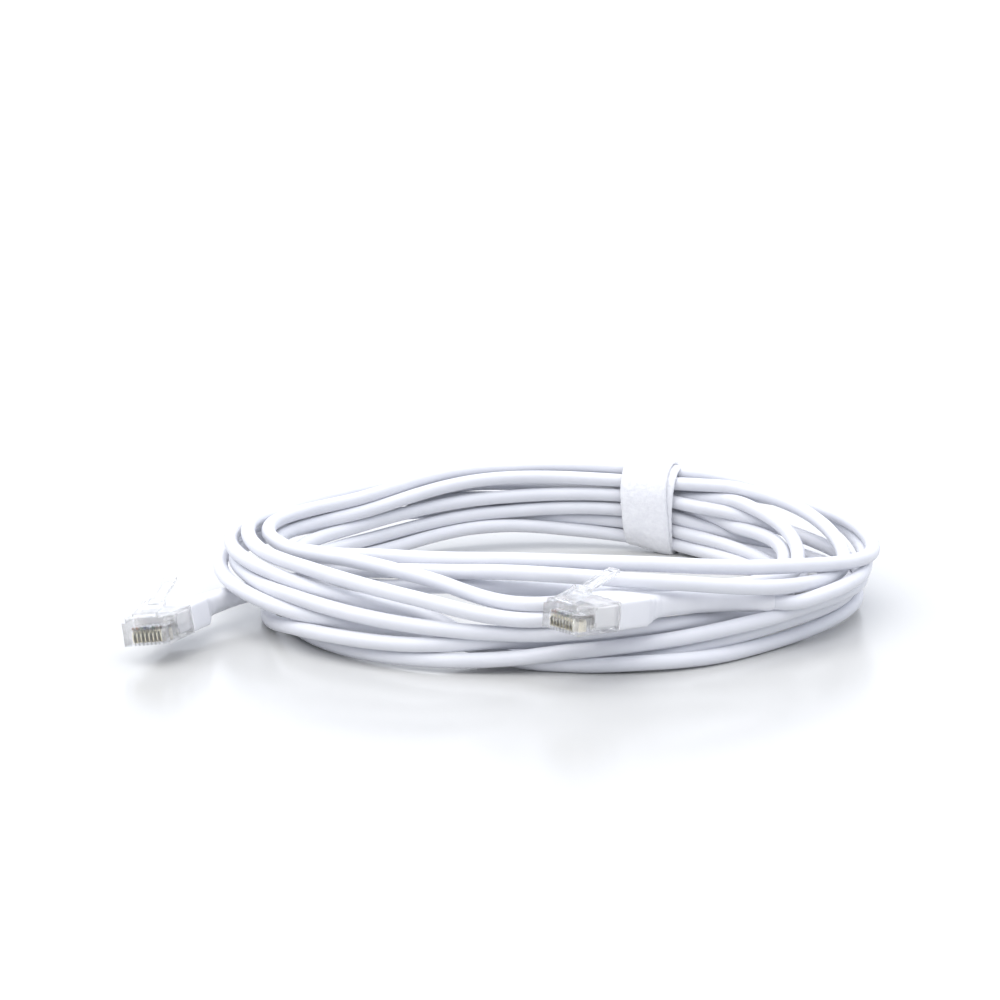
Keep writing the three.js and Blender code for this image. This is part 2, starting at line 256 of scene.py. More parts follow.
# The strip's thin edges: where they start and how wide they are, as shares of half its width, and the
# share of its thickness left at the rim.
EDGE_START = 0.93
EDGE_SPAN = 0.07
EDGE_THICKNESS = 0.35
FRAY = 0.05
PILE_ROUGHNESS = 0.035
TIE_FLOOR_GAP = 0.03

FIBRES = 5200
FIBRE_RINGS = 4
FIBRE_SIDES = 3
FIBRE_HEIGHT = (0.08, 0.26)
FIBRE_REACH = (0.2, 0.6)
FIBRE_RADIUS = 0.03
FIBRE_TAPER = 0.6
FIBRE_CURL = 2.2
FIBRE_ROOT = 0.1
FIBRE_FLOOR_GAP = 0.01

# Settling the turns: how many rounds, how often near pairs are looked up, and how much of each overlap
# one round takes away.
SETTLE_ROUNDS = 260
SETTLE_REFRESH = 10
SETTLE_PUSH = 0.45
SETTLE_PUSH_OFF_BOOTS = 0.6
SETTLE_MARGIN = 2
SAME_STRETCH = 4.5 * CABLE_DIAMETER
# Points at each end that don't move, and points at each end that lie in a boot.
HELD_POINTS = 6
BOOT_POINTS = 16
FLOOR_GAP = 0.02


# ---- small helpers ----------------------------------------------------------------------------------

def plug_matrix(letter):
    """The plug's frame in the row frame, in millimetres."""
    place = PLUG_PLACES[letter]
    pitch, roll, heading = (math.radians(place[key]) for key in ("pitch", "roll", "heading"))
    turn = (
        Matrix.Rotation(-heading, 3, "Z")
        @ Matrix.Rotation(pitch, 3, "X")
        @ Matrix.Rotation(roll, 3, "Y")
    )
    return Matrix.Translation(place["nose"]) @ turn.to_4x4()


def placed(points, matrix):
    """Points in millimetres, moved by a matrix."""
    points = np.asarray(points, float).reshape(-1, 3)
    grid = np.array(matrix)
    return points @ grid[:3, :3].T + grid[:3, 3]


def new_piece(name, points, faces, material, smooth=True):
    """A mesh object from points in millimetres."""
    mesh = bpy.data.meshes.new(name)
    mesh.from_pydata((np.asarray(points) * MM).tolist(), [], faces)
    mesh.validate()
    mesh.update()
    mesh.polygons.foreach_set("use_smooth", [smooth] * len(mesh.polygons))
    piece = bpy.data.objects.new(name, mesh)
    bpy.context.scene.collection.objects.link(piece)
    mesh.materials.append(material)
    return piece


def grid_faces(rows, columns, start=0):
    """Quads over a grid of points stored row by row and closed round its columns."""
    faces = []
    for row in range(rows - 1):
        for column in range(columns):
            after = (column + 1) % columns
            faces.append((
                start + row * columns + column,
                start + row * columns + after,
                start + (row + 1) * columns + after,
                start + (row + 1) * columns + column,
            ))
    return faces


def capped_faces(rows, columns):
    """A grid closed round its columns, with a face over each end, all facing outwards."""
    faces = grid_faces(rows, columns)
    faces.append(tuple(reversed(range(columns))))
    faces.append(tuple((rows - 1) * columns + column for column in range(columns)))
    return [face[::-1] for face in faces]


def smoothstep(value):
    value = np.clip(value, 0, 1)
    return value * value * (3 - 2 * value)


# ---- materials --------------------------------------------------------------------------------------

class Nodes:
    """A material's node tree with short calls to add to it."""

    def __init__(self, name):
        self.material = bpy.data.materials.new(name)
        self.material.use_nodes = True
        self.tree = self.material.node_tree
        self.shader = self.tree.nodes["Principled BSDF"]
        self.place = self.add("ShaderNodeTexCoord").outputs["Object"]

    def add(self, kind, **values):
        node = self.tree.nodes.new(kind)
        for key, value in values.items():
            setattr(node, key, value)
        return node

    def link(self, start, end):
        self.tree.links.new(start, end)

    def set(self, **values):
        for key, value in values.items():
            self.shader.inputs[key.replace("_", " ")].default_value = value

    def noise(self, size, detail=3, roughness=0.5):
        """Noise with features of this size in millimetres."""
        node = self.add("ShaderNodeTexNoise")
        node.inputs["Scale"].default_value = 1 / (size * MM)
        node.inputs["Detail"].default_value = detail
        node.inputs["Roughness"].default_value = roughness
        self.link(self.place, node.inputs["Vector"])
        return node.outputs["Fac"]

    def between(self, factor, low, high, start=0.35, end=0.65):
        """Spreads a factor over a range of values."""
        node = self.add("ShaderNodeMapRange")
        node.inputs["From Min"].default_value = start
        node.inputs["From Max"].default_value = end
        node.inputs["To Min"].default_value = low
        node.inputs["To Max"].default_value = high
        self.link(factor, node.inputs["Value"])
        return node.outputs["Result"]

    def colours(self, factor, low, high, start=0.35, end=0.65):
        """Spreads a factor over two colours into the base colour."""
        ramp = self.add("ShaderNodeValToRGB")
        ramp.color_ramp.elements[0].position = start
        ramp.color_ramp.elements[0].color = (*low, 1)
        ramp.color_ramp.elements[1].position = end
        ramp.color_ramp.elements[1].color = (*high, 1)
        self.link(factor, ramp.inputs["Fac"])
        self.link(ramp.outputs["Color"], self.shader.inputs["Base Color"])

    def roughness(self, factor, low, high):
        self.link(self.between(factor, low, high), self.shader.inputs["Roughness"])

    def bump(self, *layers):
        """Layers of (height factor, height in millimetres), added up."""
        normal = None
        for factor, height in layers:
            node = self.add("ShaderNodeBump")
            node.inputs["Distance"].default_value = height * MM
            node.inputs["Strength"].default_value = 1
            self.link(factor, node.inputs["Height"])
            if normal:
                self.link(normal, node.inputs["Normal"])
            normal = node.outputs["Normal"]
        self.link(normal, self.shader.inputs["Normal"])


def jacket_material():
    """Satin white PVC: faint long undulation, a fine orange peel and uneven gloss."""
    nodes = Nodes("jacket")
    nodes.set(IOR=1.5, Specular_IOR_Level=0.45)
    nodes.colours(nodes.noise(9, 4), (0.70, 0.71, 0.755), (0.73, 0.74, 0.785))
    nodes.roughness(nodes.noise(3, 5), 0.33, 0.48)
    nodes.bump((nodes.noise(5, 2), 0.05), (nodes.noise(0.35, 3), 0.006))
    return nodes.material


def boot_material():
    """Moulded soft PVC, a little smoother and whiter than the jacket."""
    nodes = Nodes("boot")
    nodes.set(IOR=1.5, Specular_IOR_Level=0.4)
    nodes.colours(nodes.noise(7, 4), (0.76, 0.765, 0.80), (0.79, 0.795, 0.83))
    nodes.roughness(nodes.noise(2, 5), 0.38, 0.52)
    nodes.bump((nodes.noise(2.5, 3), 0.03), (nodes.noise(0.25, 4), 0.006))
    return nodes.material


def clear_material():
    """Clear polycarbonate with faint flow marks."""
    nodes = Nodes("clear_shell")
    nodes.set(Base_Color=(1, 1, 1, 1), IOR=1.36, Transmission_Weight=0.92, Alpha=0.7)
    nodes.roughness(nodes.noise(1.5, 4), 0.02, 0.07)
    nodes.bump((nodes.noise(1.8, 3), 0.02))
    return nodes.material


def gold_material():
    """Gold plating on pressed contacts, finely brushed."""
    nodes = Nodes("contact_gold")
    nodes.set(Metallic=1.0)
    nodes.colours(nodes.noise(0.4, 3), (0.8, 0.74, 0.56), (0.9, 0.86, 0.74))
    nodes.roughness(nodes.noise(0.15, 4), 0.25, 0.4)
    nodes.bump((nodes.noise(0.1, 3), 0.004))
    return nodes.material


def block_material():
    """The plain white plastic that holds the conductors."""
    nodes = Nodes("wire_block")
    nodes.set(IOR=1.5)
    nodes.colours(nodes.noise(1.5, 3), (0.85, 0.85, 0.86), (0.89, 0.89, 0.9))
    nodes.roughness(nodes.noise(0.8, 3), 0.4, 0.6)
    nodes.bump((nodes.noise(0.3, 3), 0.01))
    return nodes.material


def conductor_material(name, colour):
    """Coloured insulation, a little uneven in tone; the colours given already carry painted shade."""
    nodes = Nodes(name)
    dark = tuple(0.8 * value for value in colour)
    nodes.colours(nodes.noise(0.5, 3), dark, colour)
    nodes.roughness(nodes.noise(0.4, 3), 0.3, 0.5)
    nodes.bump((nodes.noise(0.2, 2), 0.004))
    return nodes.material


def tie_material():
    """Looped pile: mottled, matt and soft at the edges."""
    nodes = Nodes("tie_fabric")
    nodes.set(Sheen_Weight=0.4, Sheen_Roughness=0.5, Specular_IOR_Level=0.15)
    nodes.colours(nodes.noise(1.2, 6, 0.65), (0.79, 0.795, 0.83), (0.86, 0.865, 0.89))
    nodes.roughness(nodes.noise(0.6, 3), 0.8, 0.95)
    nodes.bump((nodes.noise(0.9, 4), 0.14), (nodes.noise(0.25, 4, 0.7), 0.08))
    return nodes.material


def floor_material():
    """A pale glossy table, faintly uneven, that mirrors a little of what stands on it."""
    nodes = Nodes("pale_floor")
    nodes.set(IOR=1.5, Specular_IOR_Level=0.5)
    nodes.colours(nodes.noise(400, 2), (0.55, 0.55, 0.54), (0.57, 0.57, 0.56))
    nodes.roughness(nodes.noise(60, 4), 0.14, 0.2)
    return nodes.material


JACKET = jacket_material()
BOOT = boot_material()
CLEAR = clear_material()
GOLD = gold_material()
BLOCK = block_material()
TIE = tie_material()
# The conductors' own insulation hues, darkened overall as painted shade for the dim bores they sit in.
SHADED_CONDUCTOR_COLOURS = (
    (0.4, 0.26, 0.2),
    (0.28, 0.11, 0.05),
    (0.22, 0.28, 0.22),
    (0.04, 0.06, 0.15),
    (0.22, 0.24, 0.31),
    (0.03, 0.09, 0.05),
    (0.28, 0.24, 0.2),
    (0.07, 0.04, 0.03),
)
CONDUCTORS = [
    conductor_material(f"conductor_{number}", colour)
    for number, colour in enumerate(SHADED_CONDUCTOR_COLOURS, start=1)
]


# ---- camera, lights and floor -----------------------------------------------------------------------

def make_camera():
    data = bpy.data.cameras.new("camera")
    data.lens = CAMERA_LENS
    data.sensor_width = SENSOR_WIDTH
    data.clip_start = 0.01
    data.clip_end = 100
    camera = bpy.data.objects.new("camera", data)
    camera.location = Vector(CAMERA_PLACE) * MM
    camera.rotation_euler = Euler((math.radians(90 - CAMERA_DOWN), 0, 0))
    bpy.context.scene.collection.objects.link(camera)
    bpy.context.scene.camera = camera


def make_lights():
    """A bright backdrop and ceiling with cool fill, weakest from the front, and a broad warm key on top."""
    key_data = bpy.data.lights.new("key", "SUN")
    key_data.energy = KEY_STRENGTH
    key_data.angle = KEY_SPREAD
    key_data.color = KEY_COLOUR
    key = bpy.data.objects.new("key", key_data)
    key.rotation_euler = Vector(KEY_WAY).to_track_quat("-Z", "Y").to_euler()
    bpy.context.scene.collection.objects.link(key)

    world = bpy.data.worlds.new("studio")
    world.use_nodes = True
    tree = world.node_tree
    background = tree.nodes["Background"]
    background.inputs["Color"].default_value = SKY_COLOUR
    way = tree.nodes.new("ShaderNodeTexCoord").outputs["Generated"]
    split = tree.nodes.new("ShaderNodeSeparateXYZ")
    tree.links.new(way, split.inputs["Vector"])
    levels = []
    for axis, (start, end), (low, high) in SKY_RISES:
        ramp = tree.nodes.new("ShaderNodeMapRange")
        ramp.interpolation_type = "SMOOTHSTEP"
        ramp.inputs["From Min"].default_value = start
        ramp.inputs["From Max"].default_value = end
        ramp.inputs["To Min"].default_value = low
        ramp.inputs["To Max"].default_value = high
        tree.links.new(split.outputs[axis], ramp.inputs["Value"])
        levels.append(ramp.outputs["Result"])
    total = tree.nodes.new("ShaderNodeMath")
    tree.links.new(levels[0], total.inputs[0])
    tree.links.new(levels[1], total.inputs[1])
    tree.links.new(total.outputs["Value"], background.inputs["Strength"])
    bpy.context.scene.world = world


def make_floor():
    signs = ((-1, -1), (1, -1), (1, 1), (-1, 1))
    corners = [(x * FLOOR_REACH, y * FLOOR_REACH, 0) for x, y in signs]
    floor = new_piece("floor", corners, [(0, 1, 2, 3)], floor_material(), smooth=False)


# ---- the cable --------------------------------------------------------------------------------------

def boot_line(distance):
    """The point on a boot's middle line this far from its front face, and the heading there."""
    radius = (BOOT_LENGTH - BOOT_BEND_START) / BOOT_BEND_ANGLE
    heading = max(0.0, distance - BOOT_BEND_START) / radius
    straight = min(distance, BOOT_BEND_START)
    x = radius * (1 - math.cos(heading))
    y = BOOT_FRONT + straight + radius * math.sin(heading)
    return np.array([x, y, PLUG_HEIGHT / 2]), heading


def boot_section(distance):
    """Half width, half height and squareness of a boot at this distance."""
    distances = [row[0] for row in BOOT_SECTIONS]
    index = int(np.clip(np.searchsorted(distances, distance), 1, len(distances) - 1))
    low, high = BOOT_SECTIONS[index - 1], BOOT_SECTIONS[index]
    ease = float(smoothstep((distance - low[0]) / (high[0] - low[0])))
    return [low[k] + (high[k] - low[k]) * ease for k in (1, 2, 3)]


def lead_stations(letter):
    """The lead's points from the boot to the coil, as bearing, reach and height."""
    tail = [boot_line(BOOT_LENGTH - LEAD_STEP)[0], boot_line(BOOT_LENGTH)[0]]
    point, heading = boot_line(BOOT_LENGTH)
    tail.append(point + LEAD_STEP * np.array([math.sin(heading), math.cos(heading), 0]))
    points = placed(tail, plug_matrix(letter)) - COIL_CENTRE
    points = np.vstack([points, LEAD_ROUTES[letter]])
    bearings = np.degrees(np.arctan2(points[:, 1], points[:, 0]))
    return list(zip(bearings, np.hypot(points[:, 0], points[:, 1]), points[:, 2]))


def cable_stations():
    """The whole cable as (angle turned clockwise, reach, height), from plug a to plug b."""
    first = [(bearing % 360, reach, height) for bearing, reach, height in lead_stations("a")]
    rows = [(-bearing, reach, height) for bearing, reach, height in first + list(COIL_START)]
    for turn, places in enumerate(TURNS):
        for bearing, (reach, height) in zip(TURN_BEARINGS, places):
            rows.append((360 * turn - bearing, reach, height))
    last = list(COIL_END) + lead_stations("b")[::-1]
    rows += [(360 * len(TURNS) - bearing, reach, height) for bearing, reach, height in last]
    return np.array(rows)


def hermite(places, values, wanted):
    """A smooth curve through values at uneven places."""
    steps = np.diff(places)
    slopes = np.diff(values, axis=0) / steps[:, None]
    tangents = np.empty_like(values)
    tangents[0], tangents[-1] = slopes[0], slopes[-1]
    weights = (steps[:-1] + steps[1:])[:, None]
    tangents[1:-1] = (slopes[:-1] * steps[1:, None] + slopes[1:] * steps[:-1, None]) / weights
    index = np.clip(np.searchsorted(places, wanted) - 1, 0, len(steps) - 1)
    t = ((wanted - places[index]) / steps[index])[:, None]
    step = steps[index][:, None]
    return (
        (2 * t**3 - 3 * t**2 + 1) * values[index]
        + (t**3 - 2 * t**2 + t) * step * tangents[index]
        + (3 * t**2 - 2 * t**3) * values[index + 1]
        + (t**3 - t**2) * step * tangents[index + 1]
    )


def even_steps(path, step):
    """The same line with points this far apart."""
    along = np.r_[0, np.cumsum(np.linalg.norm(np.diff(path, axis=0), axis=1))]
    wanted = np.linspace(0, along[-1], int(round(along[-1] / step)) + 1)
    return np.column_stack([np.interp(wanted, along, path[:, axis]) for axis in range(3)])


def boot_spheres():
    """Balls that fill both boots and housings, for the cable to lie clear of."""
    centres, radii = [], []
    for letter in PLUG_PLACES:
        matrix = plug_matrix(letter)
        for distance in np.arange(-BOOT_FRONT, BOOT_LENGTH - BALL_STOP, BALL_STEP):
            point, heading = boot_line(max(distance, 0))
            point[1] += min(distance, 0)
            half_width, half_height, _ = boot_section(max(distance, 0))
            side = np.array([math.cos(heading), -math.sin(heading), 0])
            for share in BALL_SHARES:
                centre = point + share * (half_width - half_height) * side
                centres.append(placed(centre, matrix)[0])
                radii.append(half_height)
    return np.array(centres), np.array(radii)


def tie_middle():
    """The middle of the bundle of turns where the tie holds it."""
    return COIL_CENTRE + TIE_REACH * np.array([math.cos(TIE_BEARING), math.sin(TIE_BEARING), 0])


def tie_ways():
    """The level ways across the bundle, outwards, and along it."""
    outward = np.array([math.cos(TIE_TURN), math.sin(TIE_TURN), 0])
    along = np.array([-math.sin(TIE_TURN), math.cos(TIE_TURN), 0])
    return outward, along


def keep_in_tie(path):
    """Holds the turns inside the tie's band."""
    outward, along = tie_ways()
    from_middle = path - tie_middle()
    inside = np.abs(from_middle @ along) < TIE_WIDTH / 2 + 1
    inside &= np.abs(from_middle @ outward) < TIE_DEPTH + 1
    room = TIE_DEPTH / 2 - CABLE_DIAMETER / 2
    offset = from_middle[inside] @ outward
    path[inside] += (np.clip(offset, -room, room) - offset)[:, None] * outward
    low = TIE_THICKNESS + CABLE_DIAMETER / 2
    path[inside, 2] = np.clip(path[inside, 2], low, TIE_TOP - CABLE_DIAMETER / 2)


def close_pairs(path, reach, apart):
    """Pairs of points nearer than reach that lie more than apart steps along the path."""
    squares = (path**2).sum(axis=1)
    gaps = squares[:, None] + squares[None, :] - 2 * path @ path.T
    first, second = np.nonzero(np.triu(gaps < reach**2, k=apart + 1))
    return first, second


def settle(path):
    """Pushes the turns apart to a diameter, off the boots and the floor, and keeps the line smooth."""
    start = path.copy()
    centres, radii = boot_spheres()
    apart = int(math.ceil(SAME_STRETCH / CABLE_STEP))
    held = np.zeros(len(path), bool)
    held[:HELD_POINTS] = held[-HELD_POINTS:] = True
    free_of_boots = np.ones(len(path), bool)
    free_of_boots[:BOOT_POINTS] = free_of_boots[-BOOT_POINTS:] = False
    for step in range(SETTLE_ROUNDS):
        if step % SETTLE_REFRESH == 0:
            first, second = close_pairs(path, CABLE_DIAMETER + SETTLE_MARGIN, apart)
        between = path[first] - path[second]
        distance = np.maximum(np.linalg.norm(between, axis=1), 1e-6)
        push = np.maximum(CABLE_DIAMETER - distance, 0) / distance * SETTLE_PUSH
        move, count = np.zeros_like(path), np.zeros(len(path))
        np.add.at(move, first, between * push[:, None])
        np.add.at(move, second, -between * push[:, None])
        np.add.at(count, first, push > 0)
        np.add.at(count, second, push > 0)
        path = path + move / np.sqrt(np.maximum(count, 1))[:, None]
        for centre, radius in zip(centres, radii):
            between = path - centre
            distance = np.linalg.norm(between, axis=1)
            need = radius + CABLE_DIAMETER / 2
            close = (distance < need) & free_of_boots
            share = (need - distance[close]) / distance[close] * SETTLE_PUSH_OFF_BOOTS
            path[close] += between[close] * share[:, None]
        keep_in_tie(path)
        shift = path - start
        for _ in range(3 if step < SETTLE_ROUNDS / 2 else 1):
            shift[1:-1] = 0.5 * shift[1:-1] + 0.25 * (shift[:-2] + shift[2:])
            shift[held] = 0
        path = start + shift
        path[:, 2] = np.maximum(path[:, 2], CABLE_DIAMETER / 2 + FLOOR_GAP)
    return path


def cable_path():
    stations = cable_stations()
    turned = np.linspace(stations[0, 0], stations[-1, 0], CURVE_POINTS)
    reach, height = hermite(stations[:, 0], stations[:, 1:], turned).T
    angle = np.radians(-turned)
    path = np.column_stack([reach * np.cos(angle), reach * np.sin(angle), height]) + COIL_CENTRE
    path = even_steps(path, CABLE_STEP)
    return settle(path)


def swept(path, radii, sides):
    """Rings of a tube along a path, turned as little as possible from one to the next."""
    tangents = np.gradient(path, axis=0)
    tangents /= np.linalg.norm(tangents, axis=1)[:, None]
    side = np.cross(tangents[0], (0, 0, 1))
    rings = []
    angles = np.arange(sides) * 2 * math.pi / sides
    for point, tangent, radius in zip(path, tangents, radii):
        side = side - tangent * (side @ tangent)
        side /= np.linalg.norm(side)
        up = np.cross(side, tangent)
        ring = point + radius * (np.outer(np.cos(angles), side) + np.outer(np.sin(angles), up))
        rings.append(ring)
    return np.vstack(rings)


def make_cable():
    path = cable_path()
    length = np.linalg.norm(np.diff(path, axis=0), axis=1).sum()
    along = np.linspace(0, length, len(path))
    waves = sum(np.sin(along / period + phase) for period, phase in CABLE_WAVES)
    radii = CABLE_DIAMETER / 2 * (1 + CABLE_RIPPLE * waves)
    points = swept(path, radii, CABLE_SIDES)
    cable = new_piece("patch_cable", points, capped_faces(len(path), CABLE_SIDES), JACKET)
    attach(cable, "cable")
    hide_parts("cable_coil", "cable_lead_a", "cable_lead_b")
    return cable, path, length


make_camera()
make_lights()
make_floor()
cable, cable_line, cable_length = make_cable()


# ---- boots ------------------------------------------------------------------------------------------

def boot_rings():
    """Each ring's distance from the front face, and how far it is drawn in at the rounded ends."""
    between = BOOT_RINGS - len(BOOT_FRONT_EDGE) - len(BOOT_BACK_EDGE)
    rings = list(BOOT_FRONT_EDGE)
    for distance in np.linspace(BOOT_EDGE_LENGTH, BOOT_LENGTH - BOOT_EDGE_LENGTH, between):
        rings.append((distance, 0))
    rings += [(BOOT_LENGTH - distance, shrink) for distance, shrink in BOOT_BACK_EDGE]
    return rings


def make_boot(letter):
    angles = (np.arange(BOOT_SIDES) + 0.5) * 2 * math.pi / BOOT_SIDES
    rings = []
    for distance, shrink in boot_rings():
        point, heading = boot_line(distance)
        half_width, half_height, squareness = boot_section(distance)
        power = 2 / squareness
        cosines, sines = np.cos(angles), np.sin(angles)
        sideways = np.sign(cosines) * np.abs(cosines) ** power * (half_width - shrink)
        upward = np.sign(sines) * np.abs(sines) ** power * (half_height - shrink)
        side = np.array([math.cos(heading), -math.sin(heading), 0])
        rings.append(point + np.outer(sideways, side) + np.outer(upward, (0, 0, 1)))
    points = placed(np.vstack(rings), plug_matrix(letter))
    boot = new_piece(f"boot_{letter}", points, capped_faces(BOOT_RINGS, BOOT_SIDES), BOOT)
    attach(boot, "cable")
    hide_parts(f"plug_{letter}_boot")
    return boot


boots = {letter: make_boot(letter) for letter in PLUG_PLACES}


# ---- clear housings and latches ----------------------------------------------------------------------

def cuboid(across, along, up):
    """Corners and faces of a block given by its limits along x, y and z."""
    corners = [(x, y, z) for x in across for y in along for z in up]
    faces = [(0, 1, 3, 2), (4, 6, 7, 5), (0, 4, 5, 1), (2, 3, 7, 6), (0, 2, 6, 4), (1, 5, 7, 3)]
    return corners, faces


def side_plate(outline, half_width):
    """A plate with this outline of (y, z) points, centred on x = 0."""
    count = len(outline)
    corners = [(-half_width, y, z) for y, z in outline] + [(half_width, y, z) for y, z in outline]
    faces = [tuple(range(count)), tuple(reversed(range(count, 2 * count)))]
    for index in range(count):
        after = (index + 1) % count
        faces.append((index, index + count, after + count, after))
    return corners, faces


def rod(x, z, start, end, radius, sides):
    """A round bar along y."""
    corners = []
    for y in (start, end):
        for side in range(sides):
            turn = side * 2 * math.pi / sides
            corners.append((x + radius * math.cos(turn), y, z + radius * math.sin(turn)))
    faces = grid_faces(2, sides)
    faces += [tuple(reversed(range(sides))), tuple(range(sides, 2 * sides))]
    return corners, faces


def shape_object(shapes):
    """One scratch object from several closed shapes, its faces turned outwards."""
    corners, faces = [], []
    for shape_corners, shape_faces in shapes:
        first = len(corners)
        corners += shape_corners
        faces += [tuple(first + index for index in face) for face in shape_faces]
    mesh = bpy.data.meshes.new("shape")
    mesh.from_pydata([tuple(value * MM for value in corner) for corner in corners], [], faces)
    grown = bmesh.new()
    grown.from_mesh(mesh)
    bmesh.ops.recalc_face_normals(grown, faces=grown.faces)
    grown.to_mesh(mesh)
    grown.free()
    shape = bpy.data.objects.new("shape", mesh)
    bpy.context.scene.collection.objects.link(shape)
    return shape


def carved(solids, cuts, bevel):
    """Mesh of the solids joined, less the cuts, with its edges rounded.

    Blender keeps a rounding within the shortest edge on the mesh. Joining and cutting leave the shell and
    the latch with a few edges under 0.002 mm, so their rounding comes out under 0.01 mm.
    """
    whole = shape_object([solids[0]])
    helpers = []
    steps = [("UNION", [solid]) for solid in solids[1:]] + [("DIFFERENCE", [cut]) for cut in cuts]
    for operation, shapes in steps:
        helper = shape_object(shapes)
        helpers.append(helper)
        modifier = whole.modifiers.new(operation, "BOOLEAN")
        modifier.operation = operation
        modifier.object = helper
        modifier.solver = "EXACT"
    rounding = whole.modifiers.new("rounding", "BEVEL")
    rounding.width = bevel * MM
    rounding.segments = 2
    rounding.limit_method = "ANGLE"
    rounding.angle_limit = math.radians(35)
    graph = bpy.context.evaluated_depsgraph_get()
    mesh = bpy.data.meshes.new_from_object(whole.evaluated_get(graph))
    for helper in [whole] + helpers:
        bpy.data.objects.remove(helper)
    return mesh


def plug_piece(name, mesh, letter, material, body, replaced):
    """Puts a copy of a mesh made in the plug's frame where the plug lies."""
    mesh = mesh.copy()
    matrix = plug_matrix(letter)
    matrix.translation *= MM
    mesh.transform(matrix)
    mesh.name = name
    mesh.materials.clear()
    mesh.materials.append(material)
    piece = bpy.data.objects.new(name, mesh)
    bpy.context.scene.collection.objects.link(piece)
    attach(piece, body)
    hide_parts(replaced)


def contact_x(number):
    return (number - (CONTACT_COUNT + 1) / 2) * CONTACT_PITCH


def housing_mesh():
    """The clear shell: contact comb, wire bores, cavity, latch seat, stepped shoulders and a belly slit."""
    half = PLUG_WIDTH / 2
    solids = [
        cuboid((-half, half), (0, CLEAR_LENGTH), (0, PLUG_HEIGHT)),
        cuboid((-TONGUE_WIDTH / 2, TONGUE_WIDTH / 2), (CLEAR_LENGTH - PAST, TONGUE_END),
               ((PLUG_HEIGHT - TONGUE_HEIGHT) / 2, (PLUG_HEIGHT + TONGUE_HEIGHT) / 2)),
    ]
    # A rounded bar crosses the comb and parts each slot into two windows.
    profile = []
    for turn in np.arange(BAR_SIDES) * 2 * math.pi / BAR_SIDES:
        profile.append((
            BAR_PLACE[0] + BAR_RADIUS * math.cos(turn),
            BAR_PLACE[1] + BAR_RADIUS * math.sin(turn),
        ))
    solids.append(side_plate(profile, BAR_HALF_WIDTH))
    middle = PLUG_HEIGHT / 2
    cuts = [
        # The cavity for the moulded block, open at the rear.
        cuboid((-CAVITY_WIDTH / 2, CAVITY_WIDTH / 2), (CAVITY_FRONT, TONGUE_END + PAST),
               (middle - CAVITY_HEIGHT / 2, middle + CAVITY_HEIGHT / 2)),
        # The notch that the latch's root sits in.
        cuboid((-LATCH_HALF_WIDTH - GAP, LATCH_HALF_WIDTH + GAP), (-PAST, LATCH_SEAT_BACK),
               (LATCH_SEAT_FLOOR, PLUG_HEIGHT + PAST)),
        # The slit in the belly, where the wedge that grips the jacket is pressed in.
        cuboid((-SLIT_HALF_WIDTH, SLIT_HALF_WIDTH), SLIT_ALONG, (-PAST, SLIT_DEPTH)),
    ]
    for side in (-1, 1):
        across = sorted((side * (half - SHOULDER_WIDTH), side * (half + PAST)))
        up = (PLUG_HEIGHT - SHOULDER_DROP, PLUG_HEIGHT + PAST)
        cuts.append(cuboid(across, (-PAST, SHOULDER_BACK), up))
        across = sorted((side * (half - NOTCH_DEPTH), side * (half + PAST)))
        cuts.append(cuboid(across, NOTCH_ALONG, NOTCH_UP))
    for number in range(1, CONTACT_COUNT + 1):
        x = contact_x(number)
        across = (x - SLOT_WIDTH / 2, x + SLOT_WIDTH / 2)
        window = (-PAST, SLOT_WEB + WINDOW_OVERRUN)
        cuts.append(cuboid(across, (SLOT_WEB, SLOT_LENGTH), (-PAST, SLOT_HEIGHT)))
        cuts.append(cuboid(across, window, (-PAST, LOW_WINDOW_TOP)))
        cuts.append(cuboid(across, window, (HIGH_WINDOW_BOTTOM, SLOT_HEIGHT)))
        cuts.append(rod(x, WIRE_HEIGHT, WIRE_FRONT, CAVITY_FRONT + WIRE_SEAT, WIRE_BORE / 2, BORE_SIDES))
    return carved(solids, cuts, SHELL_EDGE)


def latch_mesh():
    """The latch at rest: a ramp up to two raised shoulders, then a finger arm with a sunken panel."""
    ramp = [(0.2, 6.55), (1.3, 6.55), (1.7, 6.95), (6.1, 8.05), (6.1, 9), (1.2, 7.4), (0.2, 7.1)]
    arm = [(5.5, 7.9), (15.7, 11.95), (15.7, 12.75), (15.3, 12.8), (5.5, 8.75)]
    horn = [(4.9, 8.2), (6.1, 8.4), (6.1, 9.45), (5.6, 9.3)]
    solids = [side_plate(ramp, LATCH_HALF_WIDTH), side_plate(arm, ARM_HALF_WIDTH)]
    for side in (-1, 1):
        corners, faces = side_plate(horn, HORN_HALF_WIDTH)
        solids.append(([(x + side * HORN_OFFSET, y, z) for x, y, z in corners], faces))
    panel = [(7.2, 9.15), (14.4, 12), (14.2, 14), (7, 13)]
    web = [(1.9, 7.35), (5.1, 8.35), (5, 9.5), (1.8, 9)]
    cuts = [side_plate(panel, PANEL_HALF_WIDTH), side_plate(web, WEB_HALF_WIDTH)]
    return carved(solids, cuts, LATCH_EDGE)


def block_mesh():
    """The moulded block that holds the conductors, grooved on its belly for each of them."""
    middle = PLUG_HEIGHT / 2
    half = CAVITY_WIDTH / 2 - GAP
    low, high = middle - CAVITY_HEIGHT / 2 + GAP, middle + CAVITY_HEIGHT / 2 - GAP
    solids = [cuboid((-half, half), (CAVITY_FRONT + GAP, TONGUE_END - GAP), (low, high))]
    cuts = []
    for number in range(1, CONTACT_COUNT + 1):
        x = contact_x(number)
        across = (x - GROOVE_HALF_WIDTH, x + GROOVE_HALF_WIDTH)
        along = (CAVITY_FRONT, CAVITY_FRONT + GROOVE_LENGTH)
        cuts.append(cuboid(across, along, (low - PAST, low + GROOVE_DEPTH)))
    return carved(solids, cuts, BLOCK_EDGE)


